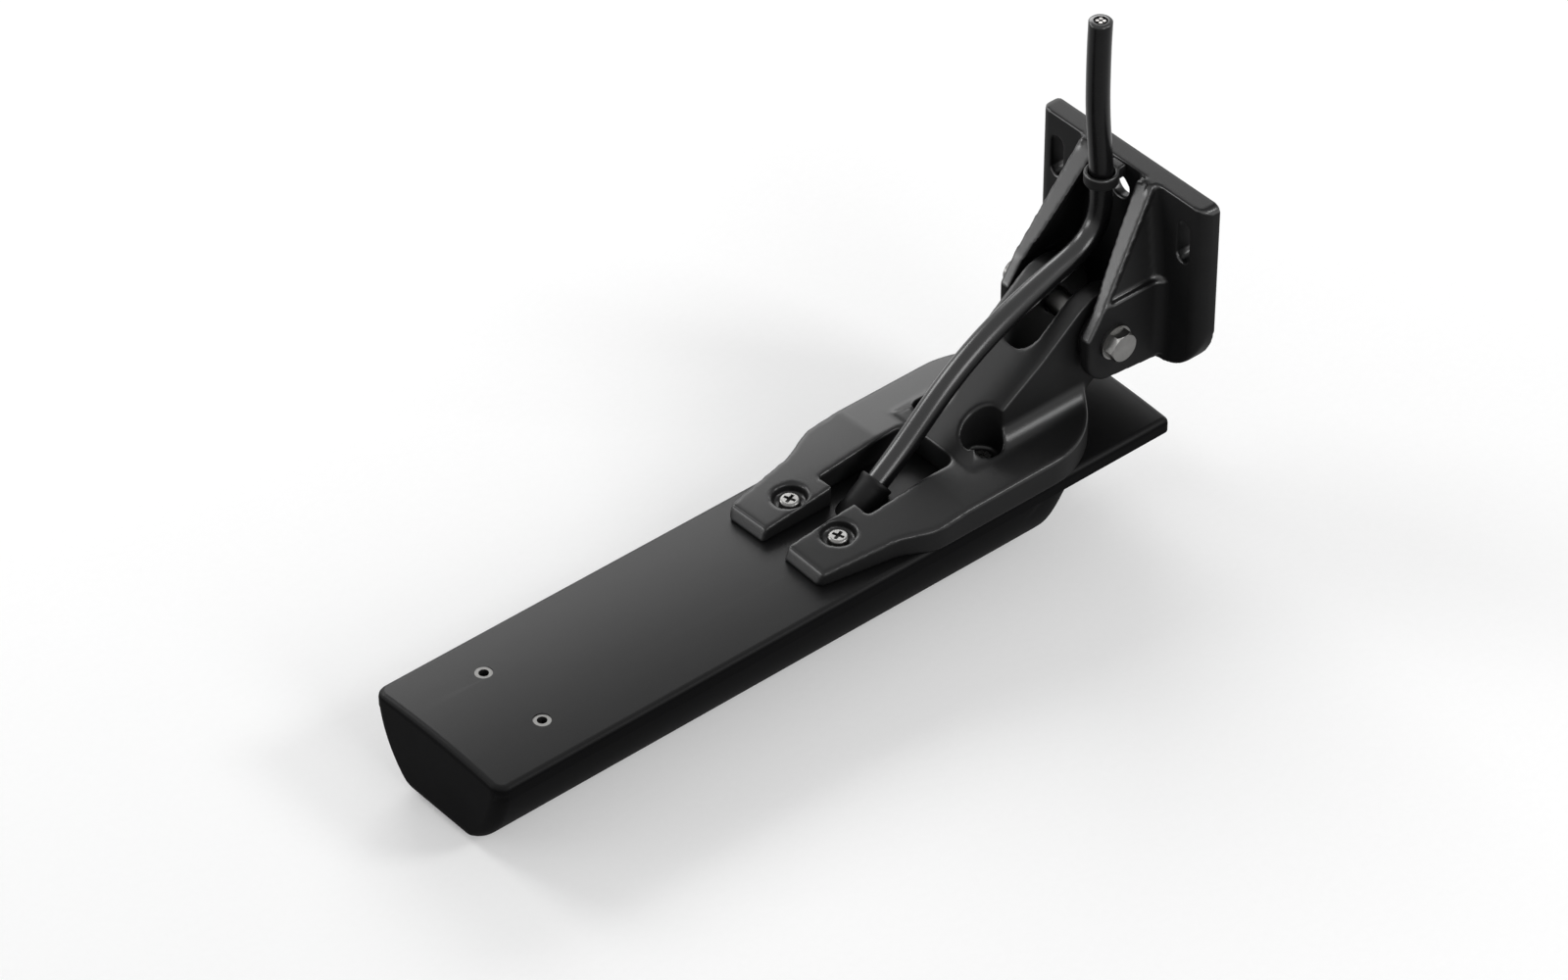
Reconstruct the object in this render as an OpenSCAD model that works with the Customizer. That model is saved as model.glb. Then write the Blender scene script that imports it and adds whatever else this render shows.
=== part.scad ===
// Sonar transducer on a tilting transom mount, in millimetres.
// Origin: middle of the bracket's transom face. +X points at the boat, +Z is up.

/* [Body] */
// Overall length of the body, front lip included
body_len = 285; // [265:1:310]
// Width of the body
body_w = 64.6; // [60:0.2:70]
// Height of the body from keel to top
body_h = 33; // [31:0.5:36]
// Thickness of the top cover and of its front lip
cover_t = 6; // [5:0.25:7]
// Length of the hull under the cover
hull_len = 258; // [240:1:262]
// Wall thickness of the hull
hull_wall = 3; // [2.5:0.25:3.5]
// Radius of the hull's round sides
side_r = 42; // [40:0.5:46]
// Radius of the bilge between side and keel
bilge_r = 33; // [32.5:0.25:35]
// Width of the flat keel
keel_w = 27; // [25:0.5:29]
// Radius of the hull's bow corners
bow_r = 27; // [24:0.5:29]
// Lean of the bow from upright, in degrees
bow_deg = 35; // [31:1:38]
// How far the leaning bow's own front would stand ahead of the sweep
bow_lead = 2; // [1.5:0.25:3]
// Radius of the keel's sweep up to the bow
sweep_r = 48; // [44:0.5:52]
// Radius of the upright corners at the aft end
aft_corner_r = 5; // [3.5:0.5:8]
// Radius of the keel's aft edge
aft_keel_r = 4.5; // [3.5:0.5:8]
// Corner radius of the front lip
lip_corner_r = 2.5; // [2:0.5:8]

/* [Threaded inserts] */
// Outer diameter of an insert
insert_d = 6; // [5:0.25:7]
// Bore of an insert
insert_bore = 3.4; // [3:0.1:4]
// Length of an insert
insert_len = 8; // [6:0.5:8]
// Wall of the boss around an insert
boss_wall = 2; // [1.5:0.25:3]
// Distance of the accessory inserts from the aft end
accessory_x = 31.3; // [24:0.5:45]
// Distance between the two accessory inserts
accessory_pitch = 29.5; // [24:0.5:34]

/* [Saddle mount] */
// Distance of the saddle's feet from the aft end
saddle_x = 139; // [135:1:143]
// Width across the saddle's deck
saddle_w = 67; // [62:0.5:72]
// Width across the two feet
feet_w = 47; // [44:0.5:50]
// Thickness of the deck
deck_t = 10.3; // [9:0.1:12]
// Thickness of the feet at the toe
toe_t = 5.2; // [4.6:0.1:7]
// Distance between front and rear screws
screw_pitch_x = 62; // [58:0.5:66]
// Distance between left and right screws
screw_pitch_y = 24.2; // [22:0.2:27]
// Thickness left under a screw head
screw_seat_t = 3.4; // [2.5:0.1:4]
// Width of the cable channel between the feet
channel_w = 10.4; // [9:0.2:11]
// Width of the cable pocket
pocket_w = 24.4; // [20:0.2:27]
// Length of the cable pocket
pocket_len = 38; // [34:0.5:39]
// Width of the ramp that carries the lugs
ramp_w = 29; // [27:0.5:31]
// Radius of the fillet along the ramp's foot
ramp_root_r = 7; // [5:0.5:8]
// Slope of the ramp
ramp_deg = 33.5; // [31:0.5:35]
// Radius of the lugs round the pivot
lug_r = 15; // [13:0.25:16]
// Gap between the two lugs
lug_gap = 14; // [10:0.5:16]

/* [Transom bracket] */
// Width of the bracket's plate
plate_w = 79.4; // [76:0.2:90]
// Height of the bracket's plate
plate_h = 70.5; // [68:0.5:78]
// Depth of the plate from transom face to aft face
plate_depth = 7.7; // [7:0.1:9]
// Thickness of the plate's web
web_t = 4.2; // [3:0.1:5]
// Thickness of the rim and ribs behind the web
rib_t = 3.2; // [2.4:0.1:4]
// Radius of the plate's lower corners
plate_foot_r = 20; // [10:0.5:22]
// Thickness of an ear at the pivot
cheek_t = 4.5; // [4:0.1:6]
// Thickness of an ear above the cheek
ear_t = 3.2; // [2.8:0.1:4]
// How far an ear leans in from cheek to top
ear_lean = 4; // [2:0.25:5]
// Depth of the raised rim along an ear's front edge
ear_rim = 3; // [2:0.25:4]
// Width of a wing slot
slot_w = 5.5; // [5:0.1:6.5]
// Length of a wing slot
slot_len = 16; // [12:0.5:20]
// Distance between the two wing slots
slot_pitch = 61; // [60:0.5:62]
// Diameter of the locking-screw hole
lock_hole_d = 8.4; // [7:0.1:9]

/* [Pivot] */
// Distance of the pivot from the transom face
pivot_reach = 28.5; // [27.5:0.25:31]
// Drop of the pivot below the middle of the plate
pivot_drop = 16.75; // [15:0.25:18]
// Height of the pivot above the body's top
pivot_h = 34.5; // [33:0.25:36]
// Distance of the pivot from the body's aft end
pivot_x = 267.5; // [264:0.5:270]
// Diameter of the pivot bolt
bolt_d = 6; // [5:0.5:6]
// Width across the flats of the bolt's head and nut
hex_af = 10; // [9.5:0.5:12]
// Height of the bolt's head
head_h = 4; // [3:0.25:5]
// Height of the lock nut
nut_h = 5; // [5:0.25:7]
// Diameter of a flat washer
washer_d = 12.5; // [11.5:0.5:14]
// Thickness of a flat washer
washer_t = 1.2; // [0.8:0.1:1.6]
// Outer diameter of the pivot sleeve
sleeve_d = 9; // [8:0.25:10]
// Diameter of a ratchet disc
disc_d = 19; // [17:0.5:19.5]
// Thickness of a ratchet disc
disc_t = 2.5; // [2:0.1:3]

/* [Screws] */
// Diameter of a mount screw's head
screw_head_d = 7.2; // [6.5:0.1:8.5]
// Height of a mount screw's head
screw_head_h = 2.3; // [2:0.1:2.8]
// Diameter of a mount screw's shank
screw_d = 3.3; // [2.8:0.1:3.3]

/* [Cable] */
// Diameter of the cable
cable_d = 8.1; // [7:0.1:8.4]
// Wall of the strain-relief boot
boot_wall = 1.3; // [1:0.1:1.6]
// Length of the strain-relief boot
boot_len = 23.5; // [21:0.5:25]
// Height of the cable clip
clip_h = 5; // [4:0.25:5.25]
// Wall of the cable clip
clip_wall = 1.5; // [1.4:0.1:2.4]

/* [Elements] */
// Diameter of the round traditional element
disc_element_d = 24; // [18:0.5:26]
// Distance of the round element from the aft end
disc_element_x = 54; // [48:1:58]
// Length of the down-looking bar
down_len = 130; // [100:1:135]
// Width of the down-looking bar
down_w = 6; // [4:0.25:8]
// Height of the bar and the round element
element_h = 7; // [6:0.25:8]
// Height of the backing over the elements
backing_h = 5; // [4:0.25:6]
// Length of the side-looking bars
side_len = 140; // [110:1:145]
// Width of a side-looking bar
side_w = 9; // [6:0.25:10]
// Thickness of a side-looking bar
side_t = 5; // [4:0.25:5.5]
// Thickness of a side-looking bar's backing
side_backing_t = 3; // [2:0.25:3.25]
// Distance of the bars' aft end from the body's aft end
bars_x = 74; // [74:1:80]
// Width of the element carrier
carrier_w = 28; // [24:0.5:29]
// Thickness of the element carrier
carrier_t = 2.5; // [2:0.25:2.75]
// Length of the circuit board
board_len = 60; // [45:1:62]
// Width of the circuit board
board_w = 26; // [22:0.5:28]
// Thickness of the circuit board
board_t = 1.6; // [1.2:0.1:1.8]
// Height of the standoffs under the board
standoff_h = 2; // [1.5:0.1:2.4]

/* [Hidden] */
$fn = 64;
eps = 0.01;
over = 1;
// Clearances: a running fit, a sliding fit, faces that turn past each other, and bonded pieces
run_clear = 0.05;
slip_clear = 0.1;
face_clear = 0.15;
bond_gap = 0.1;

// Where the body stands in the bracket's frame
axis_x = -pivot_reach;
axis_z = -pivot_drop;
body_x = axis_x - pivot_x;
body_z = axis_z - pivot_h;

// Hull, seen along its length
half_w = body_w / 2;
inner_half = half_w - hull_wall;
inner_r = bilge_r - hull_wall;
inner_floor = -body_h + hull_wall;
side_y = half_w - side_r;
bilge_z = -body_h + sqrt(bilge_r * bilge_r - keel_w * keel_w / 4);
sweep_rise = sweep_r - body_h + cover_t;
sweep_x = hull_len - sqrt(sweep_r * sweep_r - sweep_rise * sweep_rise);

// Strain relief: a 3-4-5 slope, with its mouth at this point over the cover
boot_mouth_x = 184;
boot_mouth_z = 6;
boot_deg = atan(3 / 4);
boot_bore = cable_d + 2 * slip_clear;
boot_d = boot_bore + 2 * boot_wall;
boot_lip_d = boot_d + 1;
boot_lip = 3;

// Lengths along the saddle, from the toe
screw_run = 17.6;
shoulder_run = 25;
full_run = 46;
deck_run = 56;
ramp_run = 68;
nose_run = 92.5;
toe_back = 2;
toe_r = 3;
shoulder_gain = 7;

// Room round the screw heads and the boot, and the lugs' run from the pivot
counterbore_room = 2.2;
rear_room = 3.3;
screw_hole_room = 0.5;
pocket_lead = 15;
pocket_r = 4;
knee_back = 24.9;
heel_back = 6;
gap_rise = 4;
gap_lead = 1;

// Saddle mount, measured from the aft end of the body and from its top
screw_x = saddle_x + screw_run;
nose_r = saddle_w / 2;
nose_x = saddle_x + nose_run;
shoulder_x = saddle_x + shoulder_run;
shoulder_w = feet_w + shoulder_gain;
full_x = saddle_x + full_run;
deck_x = saddle_x + deck_run;
pocket_x = boot_mouth_x - pocket_lead;
counterbore_d = screw_head_d + 2 * counterbore_room;
rear_pocket_d = screw_head_d + 2 * rear_room;
screw_hole_d = screw_d + 2 * screw_hole_room;
ramp_x = saddle_x + ramp_run;
knee_x = pivot_x - knee_back;
knee_z = deck_t + (knee_x - ramp_x) * tan(ramp_deg);
heel_x = pivot_x - heel_back;
gap_x = knee_x - gap_lead;
gap_floor = deck_t + gap_rise;
gap_r = lug_gap / 2;

// Bracket and pivot stack, outwards from the middle
ledge_rise = 15.5;
ledge_w = 2;
cheek_reach = 11.5;
cheek_drop = 15;
cheek_r = 11;
cheek_bend = 4.5;
ear_setback = 7;
ear_top_reach = 2;
bolt_tip = 1;
lug_y = ramp_w / 2;
cheek_y = lug_y + disc_t + 2 * face_clear;
cheek_out = cheek_y + cheek_t;
ledge_z = axis_z + ledge_rise;
cheek_front = axis_x - cheek_reach;
cheek_foot = axis_z - cheek_drop;
ear_foot_y = cheek_out - ledge_w - ear_t / 2;
ear_top_x = -plate_depth - ear_top_reach;
ear_rise = plate_h / 2 - ledge_z;
ear_deg = atan(ear_lean / ear_rise);
ear_front_x = cheek_front + ear_setback;
root_r = 4;
rim_step = 0.3;
rim_out = ledge_w - rim_step;
ear_slope = (ear_top_x - ear_front_x) / ear_rise;
ear_low = -3;
ear_high = ear_rise + 3;
plate_corner_r = 5;
plate_top_r = 2.5;
slot_z = 18.75;
slot_wall = 3;
lock_hole_z = 24.25;

// Cable clip on the plate's web
clip_z = 29.8;
clip_x = -16.2;
clip_room = 0.4;
clip_bore = cable_d + 2 * clip_room;
clip_stem_w = 6;

// Route of the cable, from the aft end and the top of the body: along, up
cable_route = [
    [166, -7.5], [174, -1.5], [182, 4.5], [190, 10.5], [196, 15.4], [202, 20.8], [208, 26.2],
    [214.5, 31.6], [221.5, 36.6], [229.5, 41.4], [238.5, 45.8], [248, 49.6], [257.5, 53],
    [264.5, 55.2], [269.4, 57], [273.2, 59.2], [276.2, 62], [278.4, 65.6], [279.5, 69.4],
    [280, 74], [280, 80], [279.6, 87], [278.6, 97], [277.6, 107], [277, 117], [276.8, 128],
    [276.8, 138], [277, 147.5]
];
cable_sides = 12;

// Height of the cavity's floor at a distance from the middle
function floor_at(y) = max(inner_floor, bilge_z - sqrt(inner_r * inner_r - y * y));

// Elements and what stands on them
element_z = floor_at(disc_element_d / 2) + bond_gap;
backing_z = element_z + element_h;
carrier_z = backing_z + backing_h;
carrier_x = disc_element_x - disc_element_d / 2;
carrier_len = bars_x + down_len - carrier_x;
side_deg = 32;
// Reach of a side bar: to the hull's round side, or less where its lower edge meets the bilge
side_low = [side_y - side_w / 2 * sin(side_deg), -bilge_z - side_w / 2 * cos(side_deg)];
side_along = side_low * [cos(side_deg), -sin(side_deg)];
bilge_reach = sqrt(side_along * side_along - side_low * side_low + pow(inner_r - bond_gap, 2)) - side_along;
side_reach = min(sqrt(pow(side_r - hull_wall, 2) - side_w * side_w / 4) - bond_gap, bilge_reach);
board_x = bars_x + 4;
board_z = carrier_z + carrier_t + standoff_h;
standoff_d = 4;
standoff_inset = 4;
chip_t = 1.2;
core_d = 1.5;
core_pitch = 2;
core_lap = 6;
sensor_d = 5;
sensor_len = 11;
sensor_seat = 1.2;
sensor_z = inner_floor + 9;

// Colours
body_black = [0.10, 0.10, 0.105];
mount_black = [0.12, 0.12, 0.125];
cable_black = [0.07, 0.07, 0.075];
stainless = [0.72, 0.72, 0.70];
brass = [0.72, 0.58, 0.30];
ceramic = [0.86, 0.82, 0.72];
cork = [0.56, 0.42, 0.28];
carrier_grey = [0.45, 0.46, 0.48];
board_green = [0.10, 0.32, 0.18];
copper = [0.72, 0.40, 0.22];

// Shared shapes

// Places a piece given from the aft end and the top of the body
module on_body(x = 0, y = 0, z = 0) {
    translate([body_x + x, y, body_z + z]) children();
}

// Places a piece on the pivot's axis
module on_axis(y = 0) {
    translate([axis_x, y, axis_z]) children();
}

// Turns a shape drawn along Z so that it runs along Y
module along_y() {
    rotate([-90, 0, 0]) children();
}

// Extrudes an outline drawn in X and Z over a width centred on Y
module side_extrude(w) {
    rotate([90, 0, 0]) linear_extrude(w, center = true) children();
}

// Extrudes an outline drawn in Y and Z along X
module cross_extrude(x0, x1) {
    translate([x0, 0, 0]) rotate([90, 0, 90]) linear_extrude(x1 - x0) children();
}

// Bar in plan, from x0 to x1, with its own corner radius at each end
module plan_bar(x0, x1, w, r0, r1) {
    translate([x0 + r0, -w / 2]) square([x1 - r1 - x0 - r0, w]);
    translate([x0, r0 - w / 2]) square([r0 + eps, w - 2 * r0]);
    translate([x1 - r1 - eps, r1 - w / 2]) square([r1 + eps, w - 2 * r1]);
    for (s = [-1, 1]) {
        translate([x0 + r0, s * (w / 2 - r0)]) circle(r0);
        translate([x1 - r1, s * (w / 2 - r1)]) circle(r1);
    }
}

// Slot with round ends, upright in the outline's second axis
module slot_outline(w, len) {
    square([w, len - w], center = true);
    for (s = [-1, 1]) translate([0, s * (len - w) / 2]) circle(w / 2);
}

// Tube along Z
module tube(outer, bore, len) {
    difference() {
        cylinder(d = outer, h = len);
        translate([0, 0, -over]) cylinder(d = bore, h = len + 2 * over);
    }
}

// Hexagon prism along Z with rounded corners on its top
module hex_prism(af, h) {
    corner_d = af / cos(30);
    intersection() {
        cylinder(d = corner_d, h = h, $fn = 6);
        union() {
            cylinder(d = corner_d + over, h = h - (corner_d - af) / 2);
            translate([0, 0, h - (corner_d - af) / 2])
                cylinder(d1 = corner_d, d2 = af, h = (corner_d - af) / 2);
        }
    }
}

// Point where a line from p touches a circle, on the side given by s
function touch(p, c, r, s) =
    let (d = c - p, len = norm(d), a = atan2(d[1], d[0]) + s * asin(r / len), t = sqrt(len * len - r * r))
    p + t * [cos(a), sin(a)];

// The four places of the mount screws
module each_screw() {
    for (i = [0, 1], s = [-1, 1])
        on_body(screw_x + i * screw_pitch_x, s * screw_pitch_y / 2) children();
}

// The two places of the accessory inserts
module each_accessory() {
    for (s = [-1, 1]) on_body(accessory_x, s * accessory_pitch / 2) children();
}

// Runs a shape drawn along Z down the strain relief, from its mouth
module on_boot() {
    on_body(boot_mouth_x, 0, boot_mouth_z) rotate([0, 90 - boot_deg, 0]) children();
}

// Body

// Section of the hull, drawn inside its outer face by the inset: round sides, bilges and a flat keel
module hull_section(inset, top) {
    intersection() {
        translate([side_y, 0]) circle(side_r - inset, $fn = 256);
        translate([-side_y, 0]) circle(side_r - inset, $fn = 256);
        translate([0, bilge_z]) circle(bilge_r - inset, $fn = 256);
        translate([-half_w, -2 * body_h]) square([body_w, top + 2 * body_h]);
    }
}

// Outline of the hull from the side
module hull_profile(inset) {
    base = -body_h + inset;
    ra = aft_keel_r - inset;
    translate([inset + ra, base]) square([sweep_x - inset - ra, body_h]);
    translate([inset, base + ra]) square([ra + eps, body_h]);
    translate([inset + ra, base + ra]) circle(ra);
    translate([sweep_x, sweep_r - body_h]) circle(sweep_r - inset, $fn = 128);
}

// Space behind the leaning bow, with round corners
module bow_form(inset) {
    translate([hull_len + bow_lead, 0, -cover_t]) rotate([0, bow_deg, 0]) translate([-inset, 0, -hull_len])
        linear_extrude(2 * hull_len)
            plan_bar(-2 * hull_len, 0, body_w - 2 * inset, bow_r - inset, bow_r - inset);
}

// Solid form of the hull, drawn inside its outer face by the inset
module hull_form(inset, top) {
    intersection() {
        cross_extrude(inset, hull_len + over) hull_section(inset, top);
        side_extrude(body_w) hull_profile(inset);
        translate([0, 0, -body_h]) linear_extrude(body_h)
            plan_bar(inset, 2 * hull_len, body_w - 2 * inset, aft_corner_r - inset, aft_corner_r - inset);
        bow_form(inset);
    }
}

module hull() {
    color(body_black) on_body() difference() {
        hull_form(0, -cover_t);
        hull_form(hull_wall, -cover_t + over);
        translate([hull_wall - sensor_seat, 0, sensor_z]) rotate([0, 90, 0])
            cylinder(d = sensor_d + 2 * slip_clear, h = sensor_seat + over);
    }
}

module top_cover() {
    color(body_black) difference() {
        union() {
            on_body(0, 0, -cover_t) linear_extrude(cover_t)
                plan_bar(0, body_len, body_w, aft_corner_r, lip_corner_r);
            each_screw() insert_boss();
            each_accessory() insert_boss();
        }
        each_screw() insert_pocket();
        each_accessory() insert_pocket();
        on_boot() translate([0, 0, -3 * boot_len]) cylinder(d = boot_d + 2 * run_clear, h = 4 * boot_len);
    }
}

module insert_boss() {
    translate([0, 0, -insert_len - boss_wall])
        cylinder(d = insert_d + 2 * boss_wall, h = insert_len + boss_wall - eps);
}

module insert_pocket() {
    translate([0, 0, -insert_len]) cylinder(d = insert_d, h = insert_len + over);
}

module accessory_inserts() {
    color(stainless) each_accessory() insert();
}

module mount_inserts() {
    color(brass) each_screw() insert();
}

module insert() {
    translate([0, 0, -insert_len]) tube(insert_d, insert_bore, insert_len);
}

// Saddle mount

// Half of the saddle's plan: feet, a smooth widening, then the deck's straight side
module saddle_plan() {
    steps = 8;
    side = [
        for (i = [0:steps]) let (t = i / steps) [
            shoulder_x + t * (full_x - shoulder_x),
            shoulder_w / 2 + (saddle_w - shoulder_w) / 4 * (1 - cos(180 * t))
        ]
    ];
    half = concat([[saddle_x + toe_r, 0], [saddle_x + toe_r, feet_w / 2]], side, [[nose_x, nose_r], [nose_x, 0]]);
    for (s = [0, 1]) mirror([0, s]) {
        polygon(half);
        translate([saddle_x + toe_r, feet_w / 2 - toe_r]) circle(toe_r);
        translate([saddle_x, -eps]) square([toe_r + eps, feet_w / 2 - toe_r + eps]);
    }
    translate([nose_x, 0]) circle(nose_r, $fn = 128);
}

// Outline of the base from the side: a toe that leans back, a rise and a level deck
module saddle_profile() {
    polygon([
        [saddle_x, 0], [saddle_x + toe_back, toe_t], [deck_x, deck_t],
        [nose_x + nose_r, deck_t], [nose_x + nose_r, 0]
    ]);
}

// Outline of the ramp and the lugs from the side
module ramp_profile() {
    pivot = [pivot_x, pivot_h];
    knee = [knee_x, knee_z];
    heel = [heel_x, deck_t];
    polygon([
        [ramp_x, deck_t - over], [ramp_x, deck_t], knee, touch(knee, pivot, lug_r, 1), pivot,
        touch(heel, pivot, lug_r, -1), heel, [heel_x, deck_t - over]
    ]);
    translate(pivot) circle(lug_r);
}

// Concave fillets along the ramp's foot, within the ramp's outline and the deck
module ramp_roots() {
    intersection() {
        side_extrude(ramp_w + 2 * ramp_root_r) ramp_profile();
        linear_extrude(deck_t + ramp_root_r) saddle_plan();
        cross_extrude(ramp_x, heel_x) for (s = [0, 1]) mirror([s, 0]) translate([lug_y - eps, deck_t - eps])
            difference() {
                square(ramp_root_r);
                translate([ramp_root_r, ramp_root_r]) circle(ramp_root_r);
            }
    }
}

module saddle_mount() {
    color(mount_black) difference() {
        on_body() union() {
            intersection() {
                linear_extrude(deck_t) saddle_plan();
                side_extrude(saddle_w) saddle_profile();
            }
            side_extrude(ramp_w) ramp_profile();
            ramp_roots();
        }
        saddle_cable_space();
        saddle_screw_seats();
        on_body(0, 0, gap_floor) linear_extrude(pivot_h + lug_r) {
            translate([gap_x + gap_r, 0]) circle(gap_r);
            translate([gap_x + gap_r, -gap_r]) square([2 * lug_r + knee_x, lug_gap]);
        }
        on_axis(-ramp_w) along_y() cylinder(d = sleeve_d + 2 * run_clear, h = 2 * ramp_w);
    }
}

// Channel between the feet and the pocket that the cable rises from
module saddle_cable_space() {
    on_body(0, 0, -over) linear_extrude(deck_t + 2 * over) {
        translate([saddle_x - over, -channel_w / 2]) square([pocket_x - saddle_x + 2 * over, channel_w]);
        plan_bar(pocket_x, pocket_x + pocket_len, pocket_w, 1, pocket_r);
    }
}

// Clearance holes and counterbores: round and shallow in front, tall beside the ramp
module saddle_screw_seats() {
    each_screw() translate([0, 0, -over]) cylinder(d = screw_hole_d, h = deck_t);
    for (s = [-1, 1]) {
        on_body(screw_x, s * screw_pitch_y / 2, screw_seat_t) cylinder(d = counterbore_d, h = deck_t);
        on_body(screw_x + screw_pitch_x, s * screw_pitch_y / 2, screw_seat_t)
            cylinder(d = rear_pocket_d, h = pivot_h);
    }
}

module mount_screws() {
    color(stainless) each_screw() translate([0, 0, screw_seat_t]) pan_head_screw();
}

// Pan-head screw with a cross recess, its seat at z = 0
module pan_head_screw() {
    crown = screw_head_h * 0.45;
    shank = screw_seat_t + insert_len - 1;
    recess_w = screw_head_d / 6;
    recess_len = screw_head_d * 0.6;
    difference() {
        union() {
            translate([0, 0, -shank]) cylinder(d = screw_d, h = shank + eps);
            cylinder(d = screw_head_d, h = screw_head_h - crown);
            translate([0, 0, screw_head_h - crown]) pan_crown(screw_head_d / 2, crown);
        }
        for (a = [0, 90]) rotate(a + 20)
            translate([-recess_len / 2, -recess_w / 2, screw_head_h * 0.4])
                cube([recess_len, recess_w, screw_head_h]);
    }
}

// Rounded crown of a screw head
module pan_crown(r, h) {
    rotate_extrude() intersection() {
        square([r, h]);
        union() {
            square([r - h, h]);
            translate([r - h, 0]) circle(h);
        }
    }
}

// Transom bracket

// Outline of the plate from the front, drawn inside its edge by the inset
module plate_outline(inset) {
    w = plate_w / 2 - inset;
    top = plate_h / 2 - inset;
    rf = plate_foot_r - inset;
    rt = max(plate_top_r - inset, eps);
    for (s = [-1, 1]) {
        translate([s * (w - rf), rf - top]) circle(rf);
        translate([s * (w - rt), top - rt]) circle(rt);
    }
    translate([-w, rf - top]) square([2 * w, 2 * top - rf - rt]);
    translate([rf - w, -top]) square([2 * (w - rf), rf + eps]);
    translate([rt - w, top - rt - eps]) square([2 * (w - rt), rt + eps]);
}

// Plate with rounded aft corners, hollow behind its web
module plate() {
    difference() {
        intersection() {
            cross_extrude(-plate_depth, 0) plate_outline(0);
            translate([0, 0, -plate_h]) linear_extrude(2 * plate_h)
                plan_bar(-plate_depth, plate_depth, plate_w, plate_corner_r, eps);
        }
        cross_extrude(web_t - plate_depth, over) difference() {
            plate_outline(rib_t);
            plate_ribs();
        }
    }
}

// Ribs behind the web: one across, one behind each ear and a wall round each slot
module plate_ribs() {
    translate([-plate_w / 2, -rib_t / 2]) square([plate_w, rib_t]);
    for (s = [-1, 1]) {
        translate([s * (cheek_y + cheek_t / 2) - rib_t / 2, -plate_h / 2]) square([rib_t, plate_h]);
        translate([s * slot_pitch / 2, slot_z]) slot_outline(slot_w + 2 * slot_wall, slot_len + 2 * slot_wall);
    }
}

// Lower part of an ear, from the side
module cheek_profile() {
    polygon([
        [cheek_front, cheek_foot + cheek_r], [cheek_front, axis_z + cheek_bend],
        [ear_front_x, ledge_z], [web_t - plate_depth, ledge_z], [web_t - plate_depth, -plate_h / 2 + 1],
        [cheek_front + cheek_r, cheek_foot]
    ]);
    translate([cheek_front + cheek_r, cheek_foot + cheek_r]) circle(cheek_r);
}

// Upper part of an ear, from the side, drawn past both ends to be trimmed
module ear_profile() {
    polygon([
        [ear_front_x + ear_slope * ear_low, ear_low], [ear_front_x + ear_slope * ear_high, ear_high],
        [web_t - plate_depth, ear_high], [web_t - plate_depth, ear_low]
    ]);
}

// Rim along an ear's front edge, from the side, drawn past both ends like the ear
module rim_profile() {
    low_x = ear_front_x + ear_slope * ear_low;
    high_x = ear_front_x + ear_slope * ear_high;
    polygon([[low_x, ear_low], [high_x, ear_high], [high_x + ear_rim, ear_high], [low_x + ear_rim, ear_low]]);
}

// Concave fillet along Z in the corner of two faces
module root_fillet(len) {
    linear_extrude(len) difference() {
        translate([-root_r, -eps]) square(root_r + eps);
        translate([-root_r, root_r]) circle(root_r);
    }
}

// One ear, on the side of positive Y
module ear() {
    translate([0, cheek_y + cheek_t / 2, 0]) side_extrude(cheek_t) cheek_profile();
    translate([-plate_depth + eps, cheek_out, cheek_foot]) root_fillet(ledge_z - cheek_foot);
    intersection() {
        translate([0, ear_foot_y, ledge_z]) rotate([ear_deg, 0, 0]) {
            side_extrude(ear_t) ear_profile();
            translate([0, rim_out / 2, 0]) side_extrude(ear_t + rim_out) rim_profile();
            translate([-plate_depth + eps, ear_t / 2, -1]) root_fillet(ear_rise + 4);
        }
        translate([-plate_w, 0, ledge_z - 2]) cube([plate_w, plate_w, ear_rise + 2]);
    }
}

module transom_bracket() {
    color(mount_black) difference() {
        union() {
            plate();
            for (s = [0, 1]) mirror([0, s, 0]) ear();
        }
        on_axis(-plate_w / 2) along_y() cylinder(d = bolt_d + 2 * slip_clear, h = plate_w);
        for (s = [-1, 1])
            cross_extrude(-plate_depth - over, over)
                translate([s * slot_pitch / 2, slot_z]) slot_outline(slot_w, slot_len);
        translate([-plate_depth - over, 0, lock_hole_z]) rotate([0, 90, 0])
            cylinder(d = lock_hole_d, h = plate_depth + 2 * over);
    }
}

// Pivot

module pivot_bolt() {
    color(stainless) on_axis(-cheek_out - washer_t) {
        rotate([90, 0, 0]) hex_prism(hex_af, head_h);
        translate([0, -eps, 0]) along_y()
            cylinder(d = bolt_d, h = 2 * (cheek_out + washer_t) + nut_h + bolt_tip);
    }
}

module pivot_nut() {
    color(stainless) on_axis(cheek_out + washer_t) along_y() difference() {
        union() {
            hex_prism(hex_af, nut_h * 0.7);
            cylinder(d = hex_af * 0.88, h = nut_h);
        }
        translate([0, 0, -over]) cylinder(d = bolt_d + 2 * run_clear, h = nut_h + 2 * over);
    }
}

module pivot_washers() {
    color(stainless) for (y = [-cheek_out - washer_t, cheek_out])
        on_axis(y) along_y() tube(washer_d, bolt_d + 2 * slip_clear, washer_t);
}

module pivot_sleeve() {
    color(stainless) on_axis(run_clear - cheek_y) along_y()
        tube(sleeve_d, bolt_d + 2 * slip_clear, 2 * (cheek_y - run_clear));
}

// Discs with radial grooves that lock the tilt, one on each lug
module ratchet_discs() {
    grooves = 12;
    groove_w = 1.2;
    groove_depth = 0.8;
    color(mount_black) for (s = [0, 1]) mirror([0, s, 0]) on_axis(lug_y + face_clear) along_y() difference() {
        tube(disc_d, sleeve_d + 2 * slip_clear, disc_t);
        for (i = [0:grooves - 1]) rotate(i * 360 / grooves)
            translate([sleeve_d / 2 + 1.5, -groove_w / 2, disc_t - groove_depth])
                cube([disc_d, groove_w, groove_depth + over]);
    }
}

// Cable

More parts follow.
